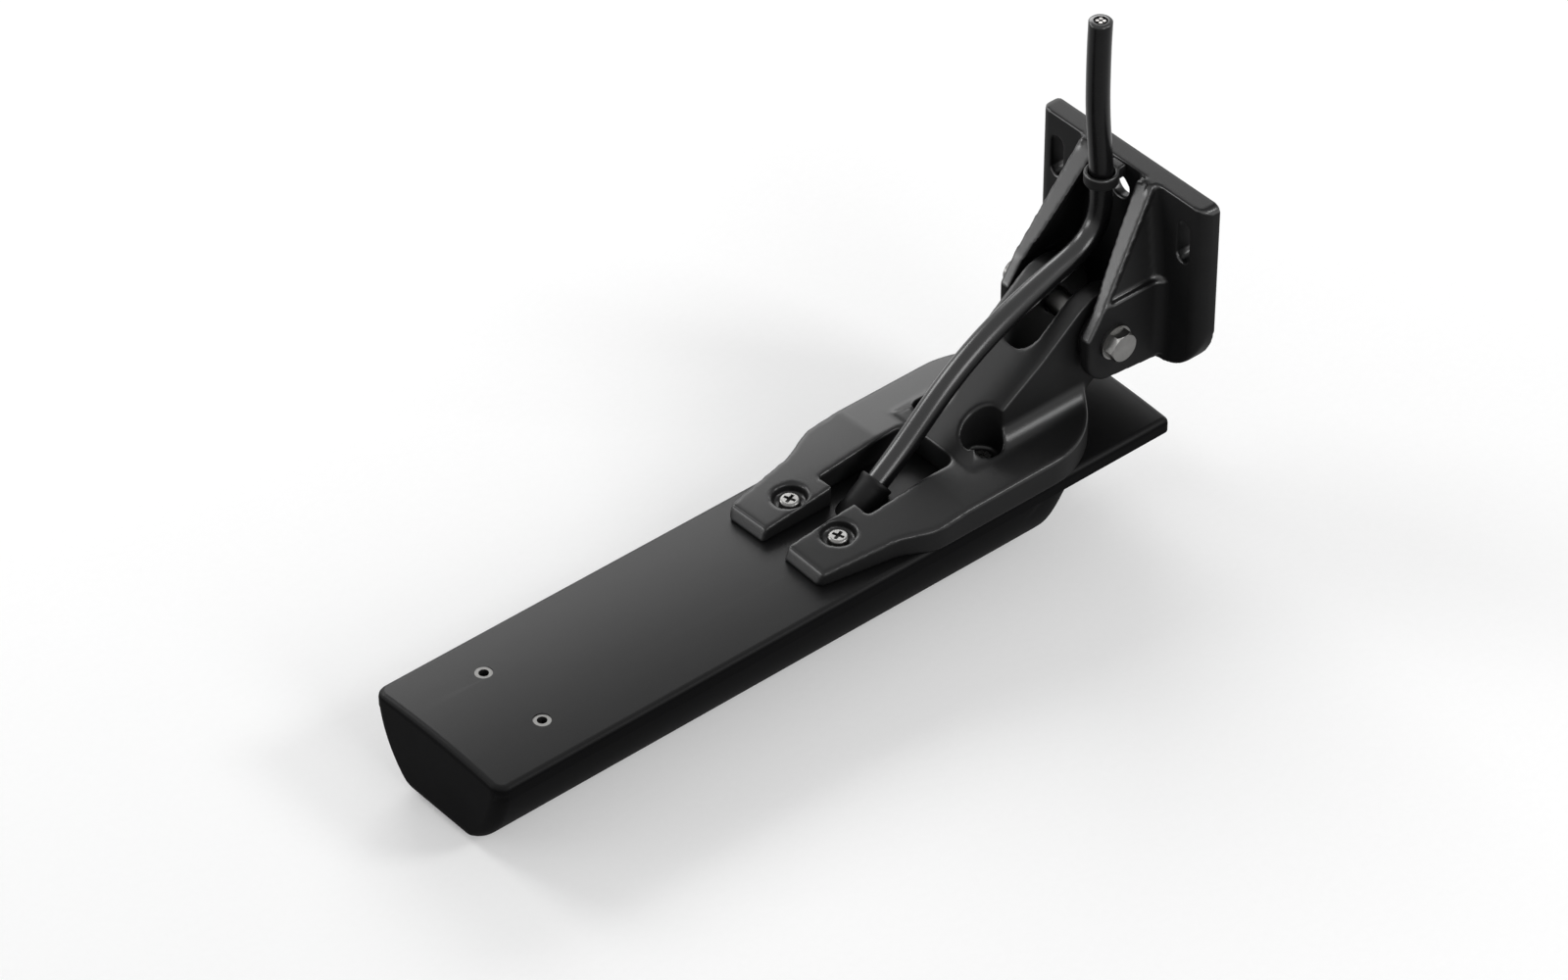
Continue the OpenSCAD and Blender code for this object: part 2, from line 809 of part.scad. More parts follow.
module strain_relief() {
    color(cable_black) on_boot() difference() {
        union() {
            translate([0, 0, -boot_len]) cylinder(d = boot_d, h = boot_len);
            translate([0, 0, -boot_lip]) cylinder(d1 = boot_d, d2 = boot_lip_d, h = boot_lip * 0.6);
            translate([0, 0, -boot_lip * 0.4]) cylinder(d = boot_lip_d, h = boot_lip * 0.4);
        }
        translate([0, 0, -boot_len - over]) cylinder(d = boot_bore, h = boot_len + 2 * over);
    }
}

// Direction of the route at point i, in X and Z
function heading(p, i) =
    let (a = p[max(i - 1, 0)], b = p[min(i + 1, len(p) - 1)]) (b - a) / norm(b - a);

// Ring of points round point i of the route
function ring(p, i, r) =
    let (h = heading(p, i))
    [
        for (k = [0:cable_sides - 1])
            let (a = 360 * k / cable_sides)
            [p[i][0] - h[1] * r * cos(a), r * sin(a), p[i][1] + h[0] * r * cos(a)]
    ];

// Closed tube along a route in the plane of X and Z
module swept_tube(p, r) {
    n = len(p);
    m = cable_sides;
    points = [for (i = [0:n - 1]) each ring(p, i, r)];
    walls = [
        for (i = [0:n - 2], k = [0:m - 1])
            let (q = (k + 1) % m) [i * m + k, i * m + q, (i + 1) * m + q, (i + 1) * m + k]
    ];
    start = [for (k = [m - 1:-1:0]) k];
    end = [for (k = [0:m - 1]) (n - 1) * m + k];
    polyhedron(points, concat([start], walls, [end]), convexity = 6);
}

module cable() {
    color(cable_black) on_body() swept_tube(cable_route, cable_d / 2);
}

// Loop round the cable on a stem that stands on the plate's web
module cable_clip() {
    color(mount_black) translate([clip_x, 0, clip_z]) difference() {
        union() {
            cylinder(d = clip_bore + 2 * clip_wall, h = clip_h);
            translate([0, -clip_stem_w / 2, 0]) cube([-clip_x - plate_depth, clip_stem_w, clip_h]);
        }
        translate([0, 0, -over]) cylinder(d = clip_bore, h = clip_h + 2 * over);
    }
}

// Elements inside the hull

module round_element() {
    color(ceramic) on_body(disc_element_x, 0, element_z) cylinder(d = disc_element_d, h = element_h);
}

module round_backing() {
    color(cork) on_body(disc_element_x, 0, backing_z) cylinder(d = disc_element_d, h = backing_h);
}

module down_element() {
    color(ceramic) on_body(bars_x, -down_w / 2, element_z) cube([down_len, down_w, element_h]);
}

module down_backing() {
    color(cork) on_body(bars_x, -down_w / 2, backing_z) cube([down_len, down_w, backing_h]);
}

// Bar that faces out and down through the round side, between two distances from the side's centre
module side_bar(s, near, far) {
    on_body(bars_x) mirror([0, s, 0]) translate([0, side_y, 0]) rotate([-side_deg, 0, 0])
        translate([0, near, -side_w / 2]) cube([side_len, far - near, side_w]);
}

module left_element() {
    color(ceramic) side_bar(0, side_reach - side_t, side_reach);
}

module left_backing() {
    color(cork) side_bar(0, side_reach - side_t - side_backing_t, side_reach - side_t);
}

module right_element() {
    color(ceramic) side_bar(1, side_reach - side_t, side_reach);
}

module right_backing() {
    color(cork) side_bar(1, side_reach - side_t - side_backing_t, side_reach - side_t);
}

module element_carrier() {
    color(carrier_grey) on_body(0, 0, carrier_z) linear_extrude(carrier_t)
        plan_bar(carrier_x, carrier_x + carrier_len, carrier_w, 4, 4);
}

// The four corners of the board that stand on the carrier
module each_standoff() {
    for (x = [standoff_inset, board_len - standoff_inset], s = [-1, 1])
        on_body(board_x + x, s * (board_w / 2 - standoff_inset), carrier_z + carrier_t) children();
}

module board_standoffs() {
    color(brass) each_standoff() cylinder(d = standoff_d, h = standoff_h);
}

module circuit_board() {
    color(board_green) on_body(board_x, -board_w / 2, board_z) cube([board_len, board_w, board_t]);
}

module board_chips() {
    color([0.15, 0.15, 0.16]) for (i = [0, 1, 2])
        on_body(board_x + board_len * (0.12 + 0.24 * i), -board_w / 5, board_z + board_t)
            cube([board_len / 7, board_w / 2.5, chip_t]);
}

// Cores of the cable, laid on the board and cut at the inner end of the strain relief
module cable_cores() {
    first = board_x + board_len - core_lap;
    last = boot_mouth_x - boot_len * cos(boot_deg);
    color(copper) for (i = [-1.5:1.5])
        on_body(first, i * core_pitch, board_z + board_t + core_d / 2) rotate([0, 90, 0])
            cylinder(d = core_d, h = last - first);
}

module temperature_sensor() {
    color(stainless) on_body(hull_wall - sensor_seat + bond_gap, 0, sensor_z) rotate([0, 90, 0])
        cylinder(d = sensor_d, h = sensor_len);
}

hull();
top_cover();
accessory_inserts();
mount_inserts();
saddle_mount();
mount_screws();
transom_bracket();
pivot_bolt();
pivot_nut();
pivot_washers();
pivot_sleeve();
ratchet_discs();
strain_relief();
cable();
cable_clip();
round_element();
round_backing();
down_element();
down_backing();
left_element();
left_backing();
right_element();
right_backing();
element_carrier();
board_standoffs();
circuit_board();
board_chips();
cable_cores();
temperature_sensor();
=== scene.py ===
"""Dresses the sonar transducer: moulded shells with softened edges, cable, hardware, stage."""

import math

import bmesh
import bpy
from bpy.props import FloatProperty, FloatVectorProperty, IntProperty, PointerProperty
from bpy.types import Operator, Panel, PropertyGroup
from mathutils import Matrix, Vector


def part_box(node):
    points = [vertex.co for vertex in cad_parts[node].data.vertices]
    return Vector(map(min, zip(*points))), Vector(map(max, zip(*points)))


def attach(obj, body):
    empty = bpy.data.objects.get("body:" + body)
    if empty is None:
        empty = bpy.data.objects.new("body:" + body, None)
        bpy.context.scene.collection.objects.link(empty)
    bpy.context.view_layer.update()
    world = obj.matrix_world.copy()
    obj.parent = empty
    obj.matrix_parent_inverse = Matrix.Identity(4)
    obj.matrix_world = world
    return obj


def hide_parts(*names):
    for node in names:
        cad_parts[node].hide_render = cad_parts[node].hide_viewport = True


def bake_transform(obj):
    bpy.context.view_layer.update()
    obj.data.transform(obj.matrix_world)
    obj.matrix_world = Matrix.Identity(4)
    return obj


bl_info = {
    "name": "Transom Transducer Dresser",
    "version": (1, 0, 0),
    "blender": (4, 5, 0),
    "location": "View3D > Sidebar > Transducer",
    "description": "Adds moulded shells, cable, finishes and a stage to a transducer",
    "category": "Object",
}

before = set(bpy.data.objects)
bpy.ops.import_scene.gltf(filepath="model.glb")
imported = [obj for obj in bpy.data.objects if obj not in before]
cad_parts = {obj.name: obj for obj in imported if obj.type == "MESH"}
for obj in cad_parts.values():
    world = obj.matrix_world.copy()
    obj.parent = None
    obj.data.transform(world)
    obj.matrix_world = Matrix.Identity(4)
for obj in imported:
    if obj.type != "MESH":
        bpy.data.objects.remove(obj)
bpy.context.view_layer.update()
FLOOR_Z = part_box("hull")[0][2]
COVER_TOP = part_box("top_cover")[1][2]

# Centre line of the cable, from the mouth of the strain relief to its cut end: X and Z in metres
CABLE_ROUTE = [
    (-0.1120, -0.04525), (-0.1060, -0.04075),
    (-0.1000, -0.03585), (-0.0940, -0.03045), (-0.0880, -0.02505), (-0.0815, -0.01965),
    (-0.0745, -0.01465), (-0.0665, -0.00985), (-0.0575, -0.00545), (-0.0480, -0.00165),
    (-0.0385, 0.00175), (-0.0315, 0.00395), (-0.0266, 0.00575), (-0.0228, 0.00795),
    (-0.0198, 0.01075), (-0.0176, 0.01435), (-0.0165, 0.01815), (-0.0160, 0.02275),
    (-0.0160, 0.02875), (-0.0164, 0.03575), (-0.0174, 0.04575), (-0.0184, 0.05575),
    (-0.0190, 0.06575), (-0.0192, 0.07675), (-0.0192, 0.08675), (-0.0190, 0.09625),
]
# Aft end and top of the body in the frame, and the hull's own measures from there, in metres
BODY_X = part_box("top_cover")[0][0]
HULL_LENGTH = 0.258
HULL_HALF = 0.0323
HULL_TOP = -0.006
HULL_KEEL = -0.033
HULL_WALL = 0.003
SIDE_RADIUS = 0.042
BILGE_RADIUS = 0.033
BILGE_Z = -0.002887
AFT_RADIUS = 0.0048
LEAST_RADIUS = 0.0006
SWEEP_RADIUS = 0.048
SWEEP_LEAD = 0.02
BOW_RADIUS = 0.027
BOW_LEAD = 0.002
BOW_LEAN = math.radians(35.0)
BOW_TRIM = 0.0003
# Reach of the round corners between the hull's faces, in metres
SIDE_SOFT = 0.0012
KEEL_SOFT = 0.006
SWEEP_SOFT = 0.004
BOW_SOFT = 0.003
# Facets of the hull: down its side, round its aft edge, along its length and along its bow
SIDE_STEPS = 30
AFT_STEPS = 10
LENGTH_STEPS = 40
BOW_STEPS = 44
# Cover: strips across its crown, how near its outline the rounded edge lies, facets of that edge
CROWN_STRIPS = 16
EDGE_REACH = 0.006
EDGE_FACETS = 5
# Heights over the cover, in metres, between which the saddle's bow with the crown dies out
SADDLE_BOWED = 0.010
SADDLE_STRAIGHT = 0.028
# Share of the faces that are kept after the remeshed shells are smoothed
MOULDING_KEEP = 0.22
CLIP_KEEP = 0.5
# Front edge and lean of the bracket's ears, in metres: where they stand and how they rise from there
EAR_FOOT = Vector((-0.033, 0.0182, -0.00125))
EAR_SLOPE = 0.638356
EAR_LEAN = math.radians(6.254)
EAR_THICK = 0.0032
EAR_RIM = 0.003
# Bar inside that edge, in metres: height and growth at its two ends, and its lap with the ear
RIM_LOW = (0.004, 0.0006)
RIM_HIGH = (0.0355, 0.0028)
RIM_LAP = 0.001
# Facets of the cable along each stretch of its route and round it
CABLE_STEPS = 5
CABLE_SIDES = 28
# Cut end of the cable, in metres: bevel, jacket's wall, edge and depth of the filler, and the cores in it
CUT_BEVEL = 0.0004
JACKET_WALL = 0.0016
FILLER_INSET = 0.0017
FILLER_DEPTH = 0.0006
CORE_COUNT = 4
CORE_CIRCLE = 0.0011
CORE_RADIUS = 0.00062
CORE_ENDS = (-0.0002, 0.0006)
CORE_SIDES = 12
# Strain relief: the middle of its mouth and the way that it points, and its radii in metres
BOOT_MOUTH = Vector((CABLE_ROUTE[0][0], 0.0, CABLE_ROUTE[0][1]))
BOOT_AXIS = Vector((0.8, 0.0, 0.6))
BOOT_RADIUS = 0.00543
BOOT_LIP = 0.00590
BOOT_LENGTH = 0.0235
BOOT_PLAY = 0.00008
# Angles between faces from which an edge stays sharp
SHARP_EDGE = math.radians(50.0)
SHARP_COVER = math.radians(35.0)
# Sheen by the upward share of a face's normal: (share, level)
BODY_SHEEN = ((0.5, 0.014), (0.98, 0.15))
SADDLE_SHEEN = ((0.1, 0.08), (0.4, 0.36), (0.9, 0.33), (0.99, 0.21))
BRACKET_SHEEN = ((0.08, 0.06), (0.3, 0.85), (0.75, 0.5), (0.97, 0.10))
JACKET_SHEEN = ((0.15, 0.12), (0.45, 0.55))
UPRIGHT_ROUGHNESS = 0.55
# Colours inside the housing and at the cable's cut end
BRASS = (0.70, 0.54, 0.26)
TINNED = (0.30, 0.29, 0.28)
FILLER = (0.05, 0.05, 0.052)
CARRIER = (0.17, 0.18, 0.19)
EPOXY = (0.02, 0.02, 0.021)
WHITE = (1.0, 1.0, 1.0, 1.0)
# Stage, in metres: the camera's place and turn, the floor, and the point that the lamps look at
CAMERA_PLACE = (-1.2506, -1.28885, 1.38862)
CAMERA_TURN = (math.radians(50.1), 0.0, math.radians(49.56 - 90.0))
FLOOR_HALF = 6.0
FLOOR_CENTRE = (-0.15, 0.0, FLOOR_Z - 0.0002)
LAMP_AIM = Vector((-0.15, 0.0, -0.04))
# Distances from the floor's centre between which it turns plain white
WHITE_NEAR = 0.18
WHITE_FAR = 0.90


class TransducerSizes(PropertyGroup):
    """Sizes of the softened shells, the cover and the cable"""

    voxel: FloatProperty(
        name="Shell Voxel", description="Grain of the remeshed saddle, bracket and clip",
        default=0.00055, min=0.0003, max=0.002, subtype="DISTANCE", unit="LENGTH",
    )
    smoothing: IntProperty(
        name="Bracket Smoothing",
        description="Smoothing passes that round the bracket's and the clip's edges",
        default=10, min=0, max=40,
    )
    saddle_smoothing: IntProperty(
        name="Saddle Smoothing", description="Smoothing passes that round the saddle mount's edges",
        default=18, min=0, max=40,
    )
    cover_edge: FloatProperty(
        name="Cover Edge", description="Radius of the cover's upper edge",
        default=0.0024, min=0.0002, max=0.003, subtype="DISTANCE", unit="LENGTH",
    )
    cover_crown: FloatProperty(
        name="Cover Crown", description="Fall of the cover's top from its middle line to its long edges",
        default=0.0015, min=0.0, max=0.002, subtype="DISTANCE", unit="LENGTH",
    )
    cable_diameter: FloatProperty(
        name="Cable Diameter", description="Outer diameter of the cable's jacket",
        default=0.0081, min=0.004, max=0.012, subtype="DISTANCE", unit="LENGTH",
    )


class TransducerFinish(PropertyGroup):
    """Colours and roughness of the finishes"""

    body_colour: FloatVectorProperty(
        name="Body Plastic", description="Colour of the moulded hull and cover",
        subtype="COLOR", default=(0.0040, 0.0040, 0.0042), min=0.0, max=1.0,
    )
    mount_colour: FloatVectorProperty(
        name="Mount Plastic", description="Colour of the saddle, bracket and clip",
        subtype="COLOR", default=(0.0080, 0.0080, 0.0082), min=0.0, max=1.0,
    )
    jacket_colour: FloatVectorProperty(
        name="Cable Jacket", description="Colour of the cable and its strain relief",
        subtype="COLOR", default=(0.0040, 0.0040, 0.0042), min=0.0, max=1.0,
    )
    steel_colour: FloatVectorProperty(
        name="Stainless", description="Colour of screws, bolt, washers and inserts",
        subtype="COLOR", default=(0.19, 0.188, 0.183), min=0.0, max=1.0,
    )
    body_roughness: FloatProperty(
        name="Body Roughness", description="Roughness of the moulded body",
        subtype="FACTOR", default=0.36, min=0.0, max=1.0,
    )
    mount_roughness: FloatProperty(
        name="Mount Roughness", description="Roughness of the saddle, bracket and clip",
        subtype="FACTOR", default=0.30, min=0.0, max=1.0,
    )


class TransducerStage(PropertyGroup):
    """Camera, floor and lamps"""

    lens: FloatProperty(
        name="Lens", description="Focal length on a 36 mm sensor, in millimetres",
        default=157.5, min=20.0, max=300.0,
    )
    floor_colour: FloatVectorProperty(
        name="Floor", description="Colour of the pale floor",
        subtype="COLOR", default=(0.95, 0.95, 0.95), min=0.0, max=1.0,
    )
    floor_glow: FloatProperty(
        name="Floor Glow", description="Share of plain white in the floor that the camera sees",
        subtype="FACTOR", default=0.24, min=0.0, max=1.0,
    )
    sky: FloatProperty(
        name="Sky", description="Strength of the even light from all round",
        default=0.37, min=0.0, max=2.0,
    )
    backdrop: FloatProperty(
        name="Backdrop", description="Strength of the pale backdrop that the camera sees",
        default=1.0, min=0.0, max=2.0,
    )
    back_lamp: FloatProperty(
        name="Back Lamp", description="Power of the softbox behind the object, in watts",
        default=9.4, min=0.0, max=200.0, subtype="POWER",
    )
    rim_lamp: FloatProperty(
        name="Rim Lamp", description="Power of the softbox over the aft end's far side, in watts",
        default=6.0, min=0.0, max=200.0, subtype="POWER",
    )
    left_lamp: FloatProperty(
        name="Left Lamp", description="Power of the low softbox beyond the aft end, in watts",
        default=5.0, min=0.0, max=200.0, subtype="POWER",
    )
    front_lamp: FloatProperty(
        name="Front Lamp", description="Power of the softbox on the near side, in watts",
        default=5.0, min=0.0, max=200.0, subtype="POWER",
    )
    right_lamp: FloatProperty(
        name="Right Lamp", description="Power of the softbox at the bow's near side, in watts",
        default=6.0, min=0.0, max=200.0, subtype="POWER",
    )


# Finishes


def new_finish(name, colour, roughness, metallic=0.0, specular=0.5):
    """Material with its shader's constant sockets set; returns it with its tree and shader."""
    mat = bpy.data.materials.new(name)
    mat.use_nodes = True
    tree = mat.node_tree
    shader = tree.nodes["Principled BSDF"]
    shader.inputs["Base Color"].default_value = (*colour, 1.0)
    shader.inputs["Roughness"].default_value = roughness
    shader.inputs["Metallic"].default_value = metallic
    shader.inputs["Specular IOR Level"].default_value = specular
    return mat, tree, shader


def tinted(colour, share):
    """A colour at a share of its brightness."""
    return tuple(c * share for c in colour)


def object_coords(tree, stretch=(1.0, 1.0, 1.0)):
    """Object coordinates in metres, stretched per axis."""
    coords = tree.nodes.new("ShaderNodeTexCoord")
    mapping = tree.nodes.new("ShaderNodeMapping")
    mapping.inputs["Scale"].default_value = stretch
    tree.links.new(coords.outputs["Object"], mapping.inputs["Vector"])
    return mapping.outputs["Vector"]


def noise(tree, vector, scale, detail=3.0, roughness=0.55):
    """Noise texture at a scale in cells per metre."""
    node = tree.nodes.new("ShaderNodeTexNoise")
    node.inputs["Scale"].default_value = scale
    node.inputs["Detail"].default_value = detail
    node.inputs["Roughness"].default_value = roughness
    tree.links.new(vector, node.inputs["Vector"])
    return node.outputs["Fac"]


def ramp(tree, factor, low, high, start=0.3, stop=0.7):
    """Two-stop colour ramp over a factor."""
    node = tree.nodes.new("ShaderNodeValToRGB")
    node.color_ramp.elements[0].position = start
    node.color_ramp.elements[1].position = stop
    node.color_ramp.elements[0].color = (*low, 1.0)
    node.color_ramp.elements[1].color = (*high, 1.0)
    tree.links.new(factor, node.inputs["Fac"])
    return node.outputs["Color"]


def spread(tree, factor, low, high):
    """Maps a factor from 0..1 to a range of values."""
    node = tree.nodes.new("ShaderNodeMapRange")
    node.inputs["To Min"].default_value = low
    node.inputs["To Max"].default_value = high
    tree.links.new(factor, node.inputs["Value"])
    return node.outputs["Result"]


def bump(tree, shader, height, strength, distance):
    """Bump from a height in metres."""
    node = tree.nodes.new("ShaderNodeBump")
    node.inputs["Strength"].default_value = strength
    node.inputs["Distance"].default_value = distance
    tree.links.new(height, node.inputs["Height"])
    tree.links.new(node.outputs["Normal"], shader.inputs["Normal"])


def moulded_skin(tree, shader, colour, grain):
    """Slight flow marks in the colour and a spark-eroded grain; returns the flow marks."""
    flow = noise(tree, object_coords(tree, (0.35, 1.0, 1.0)), scale=55.0, detail=4.0)
    fine = noise(tree, object_coords(tree), grain, detail=2.0, roughness=0.6)
    marked = ramp(tree, flow, tinted(colour, 0.86), tinted(colour, 1.2))
    tree.links.new(marked, shader.inputs["Base Color"])
    bump(tree, shader, fine, strength=0.28, distance=0.00006)
    return flow


def moulded_plastic(name, colour, roughness, grain=2600.0):
    """Dull moulded plastic or rubber, with flow marks that also change its roughness."""
    mat, tree, shader = new_finish(name, colour, roughness, specular=0.18)
    flow = moulded_skin(tree, shader, colour, grain)
    tree.links.new(spread(tree, flow, roughness - 0.05, roughness + 0.06), shader.inputs["Roughness"])
    return mat


def sheen_by_facing(tree, shader, sheen):
    """Sets the sheen by how far a face looks up, in pairs of upward share and level; returns the share."""
    coords = tree.nodes.new("ShaderNodeTexCoord")
    facing = tree.nodes.new("ShaderNodeSeparateXYZ")
    tree.links.new(coords.outputs["Normal"], facing.inputs["Vector"])
    gloss = tree.nodes.new("ShaderNodeValToRGB")
    while len(gloss.color_ramp.elements) < len(sheen):
        gloss.color_ramp.elements.new(1.0)
    for stop, (up, level) in zip(gloss.color_ramp.elements, sheen):
        stop.position = up
        stop.color = (level, level, level, 1.0)
    tree.links.new(facing.outputs["Z"], gloss.inputs["Fac"])
    tree.links.new(gloss.outputs["Color"], shader.inputs["Specular IOR Level"])
    return facing.outputs["Z"]


def faced_plastic(name, colour, roughness, sheen):
    """Moulded plastic with flow marks and a fine grain, rougher on its upright faces."""
    mat, tree, shader = new_finish(name, colour, roughness)
    moulded_skin(tree, shader, colour, grain=2600.0)
    facing = sheen_by_facing(tree, shader, sheen)
    up = tree.nodes.new("ShaderNodeMapRange")
    up.inputs["From Min"].default_value = sheen[0][0]
    up.inputs["From Max"].default_value = sheen[1][0]
    tree.links.new(facing, up.inputs["Value"])
    rough = spread(tree, up.outputs["Result"], UPRIGHT_ROUGHNESS, roughness)
    tree.links.new(rough, shader.inputs["Roughness"])
    return mat


def cable_jacket(name, colour):
    """Satin cable jacket, slightly mottled, with a fine grain."""
    mat, tree, shader = new_finish(name, colour, 0.25)
    place = object_coords(tree)
    mottled = noise(tree, place, scale=140.0, detail=3.0)
    fine = noise(tree, place, scale=3200.0, detail=2.0)
    marked = ramp(tree, mottled, tinted(colour, 0.85), tinted(colour, 1.25))
    tree.links.new(marked, shader.inputs["Base Color"])
    tree.links.new(spread(tree, mottled, 0.22, 0.29), shader.inputs["Roughness"])
    sheen_by_facing(tree, shader, JACKET_SHEEN)
    bump(tree, shader, fine, strength=0.18, distance=0.00005)
    return mat


def stainless(name, colour, roughness=0.32):
    """Stainless steel with fine turning lines."""
    mat, tree, shader = new_finish(name, colour, roughness, metallic=1.0)
    lines = noise(tree, object_coords(tree, (1.0, 1.0, 9.0)), scale=900.0, detail=2.0)
    stain = noise(tree, object_coords(tree), scale=260.0, detail=3.0)
    tree.links.new(ramp(tree, stain, tinted(colour, 0.82), colour), shader.inputs["Base Color"])
    tree.links.new(spread(tree, lines, roughness - 0.06, roughness + 0.10), shader.inputs["Roughness"])
    bump(tree, shader, lines, strength=0.08, distance=0.00004)
    return mat


def bright_metal(name, colour):
    """Brass or tinned wire with a slight tarnish."""
    roughness = 0.3
    mat, tree, shader = new_finish(name, colour, roughness, metallic=1.0)
    tarnish = noise(tree, object_coords(tree), scale=420.0, detail=4.0)
    tree.links.new(ramp(tree, tarnish, tinted(colour, 0.68), colour), shader.inputs["Base Color"])
    tree.links.new(spread(tree, tarnish, roughness + 0.12, roughness - 0.06), shader.inputs["Roughness"])
    return mat


def fired_ceramic(name):
    """Pale fired ceramic with a dull electrode wash."""
    mat, tree, shader = new_finish(name, (0.62, 0.57, 0.47), 0.55)
    wash = noise(tree, object_coords(tree), scale=300.0, detail=4.0)
    fine = noise(tree, object_coords(tree), scale=2400.0, detail=2.0)
    tree.links.new(ramp(tree, wash, (0.56, 0.52, 0.43), (0.68, 0.64, 0.55)), shader.inputs["Base Color"])
    bump(tree, shader, fine, strength=0.2, distance=0.00005)
    return mat


def cork_backing(name):
    """Cork rubber in coarse grains."""
    mat, tree, shader = new_finish(name, (0.28, 0.17, 0.09), 0.85)
    cells = tree.nodes.new("ShaderNodeTexVoronoi")
    cells.inputs["Scale"].default_value = 900.0
    tree.links.new(object_coords(tree), cells.inputs["Vector"])
    grains = cells.outputs["Distance"]
    brown = ramp(tree, grains, (0.34, 0.21, 0.11), (0.14, 0.08, 0.04), start=0.2, stop=0.8)
    tree.links.new(brown, shader.inputs["Base Color"])
    bump(tree, shader, grains, strength=0.5, distance=0.0002)
    return mat


def laminate(name):
    """Green board laminate with a faint weave."""
    mat, tree, shader = new_finish(name, (0.03, 0.15, 0.07), 0.38)
    weave = tree.nodes.new("ShaderNodeTexChecker")
    weave.inputs["Scale"].default_value = 1400.0
    weave.inputs["Color1"].default_value = (0.028, 0.150, 0.066, 1.0)
    weave.inputs["Color2"].default_value = (0.034, 0.168, 0.078, 1.0)
    tree.links.new(object_coords(tree), weave.inputs["Vector"])
    tree.links.new(weave.outputs["Color"], shader.inputs["Base Color"])
    return mat


def seen_rays(tree):
    """1 where the camera sees a surface, straight, in a reflection or through something clear."""
    path = tree.nodes.new("ShaderNodeLightPath")
    seen = path.outputs["Is Camera Ray"]
    for ray in ("Is Glossy Ray", "Is Transmission Ray"):
        either = tree.nodes.new("ShaderNodeMath")
        either.operation = "MAXIMUM"
        tree.links.new(seen, either.inputs[0])
        tree.links.new(path.outputs[ray], either.inputs[1])
        seen = either.outputs["Value"]
    return seen


def white_far_out(tree, glow):
    """Share of white on the floor: the given glow near its centre, plain white further out."""
    offset = tree.nodes.new("ShaderNodeVectorMath")
    offset.operation = "DISTANCE"
    offset.inputs[1].default_value = FLOOR_CENTRE
    tree.links.new(object_coords(tree), offset.inputs[0])
    share = tree.nodes.new("ShaderNodeMapRange")
    share.interpolation_type = "SMOOTHSTEP"
    share.inputs["From Min"].default_value = WHITE_NEAR
    share.inputs["From Max"].default_value = WHITE_FAR
    share.inputs["To Min"].default_value = glow
    share.inputs["To Max"].default_value = 1.0
    tree.links.new(offset.outputs["Value"], share.inputs["Value"])
    seen = tree.nodes.new("ShaderNodeMath")
    seen.operation = "MULTIPLY"
    tree.links.new(share.outputs["Result"], seen.inputs[0])
    tree.links.new(seen_rays(tree), seen.inputs[1])
    return seen.outputs["Value"]


def floor_paper(name, colour, glow):
    """Pale paper that takes shadows, lifted towards white where the camera or a reflection sees it."""
    mat, tree, shader = new_finish(name, colour, 0.9, specular=0.0)
    grain = noise(tree, object_coords(tree), scale=400.0, detail=2.0)
    tree.links.new(ramp(tree, grain, tinted(colour, 0.985), colour), shader.inputs["Base Color"])
    white = tree.nodes.new("ShaderNodeEmission")
    white.inputs["Color"].default_value = WHITE
    white.inputs["Strength"].default_value = 1.0
    blend = tree.nodes.new("ShaderNodeMixShader")
    tree.links.new(white_far_out(tree, glow), blend.inputs["Fac"])
    tree.links.new(shader.outputs["BSDF"], blend.inputs[1])
    tree.links.new(white.outputs["Emission"], blend.inputs[2])
    tree.links.new(blend.outputs["Shader"], tree.nodes["Material Output"].inputs["Surface"])
    return mat


# Meshes


def add_object(name, mesh):
    """Links a new object for a mesh into the scene."""
    obj = bpy.data.objects.new(name, mesh)
    bpy.context.scene.collection.objects.link(obj)
    return obj


def dress(obj, material):
    """Gives an object one material on all its faces."""
    obj.data.materials.clear()
    obj.data.materials.append(material)
    for face in obj.data.polygons:
        face.material_index = 0


def node_copy(node, name):
    """New object with a welded copy of a CAD node's mesh."""
    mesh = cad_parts[node].data.copy()
    mesh.name = name
    work = bmesh.new()
    work.from_mesh(mesh)
    bmesh.ops.remove_doubles(work, verts=work.verts, dist=2e-6)
    work.to_mesh(mesh)
    work.free()
    return add_object(name, mesh)


def bridge(work, a, b, index=0):
    """Faces between two closed rings of vertices, with one material; returns them."""
    faces = []
    for k in range(len(a)):
        n = (k + 1) % len(a)
        face = work.faces.new((a[k], a[n], b[n], b[k]))
        face.material_index = index
        faces.append(face)
    return faces


def solid_object(name, work):
    """New smooth-shaded object from a closed working mesh, which is freed."""
    bmesh.ops.recalc_face_normals(work, faces=work.faces)
    mesh = bpy.data.meshes.new(name)
    work.to_mesh(mesh)
    work.free()
    mesh.shade_smooth()
    mesh.set_sharp_from_angle(angle=SHARP_EDGE)
    return add_object(name, mesh)


def bake_modifiers(obj):
    """Replaces an object's mesh with its modified form and drops its modifiers."""
    graph = bpy.context.evaluated_depsgraph_get()
    baked = bpy.data.meshes.new_from_object(obj.evaluated_get(graph), depsgraph=graph)
    old = obj.data
    obj.modifiers.clear()
    obj.data = baked
    bpy.data.meshes.remove(old)


def settle_normals(obj, keep_sharp):
    """Lets large flat faces keep their own normals beside small rounded ones."""
    even = obj.modifiers.new("even_normals", "WEIGHTED_NORMAL")
    even.weight = 90
    even.keep_sharp = keep_sharp
    bake_modifiers(obj)


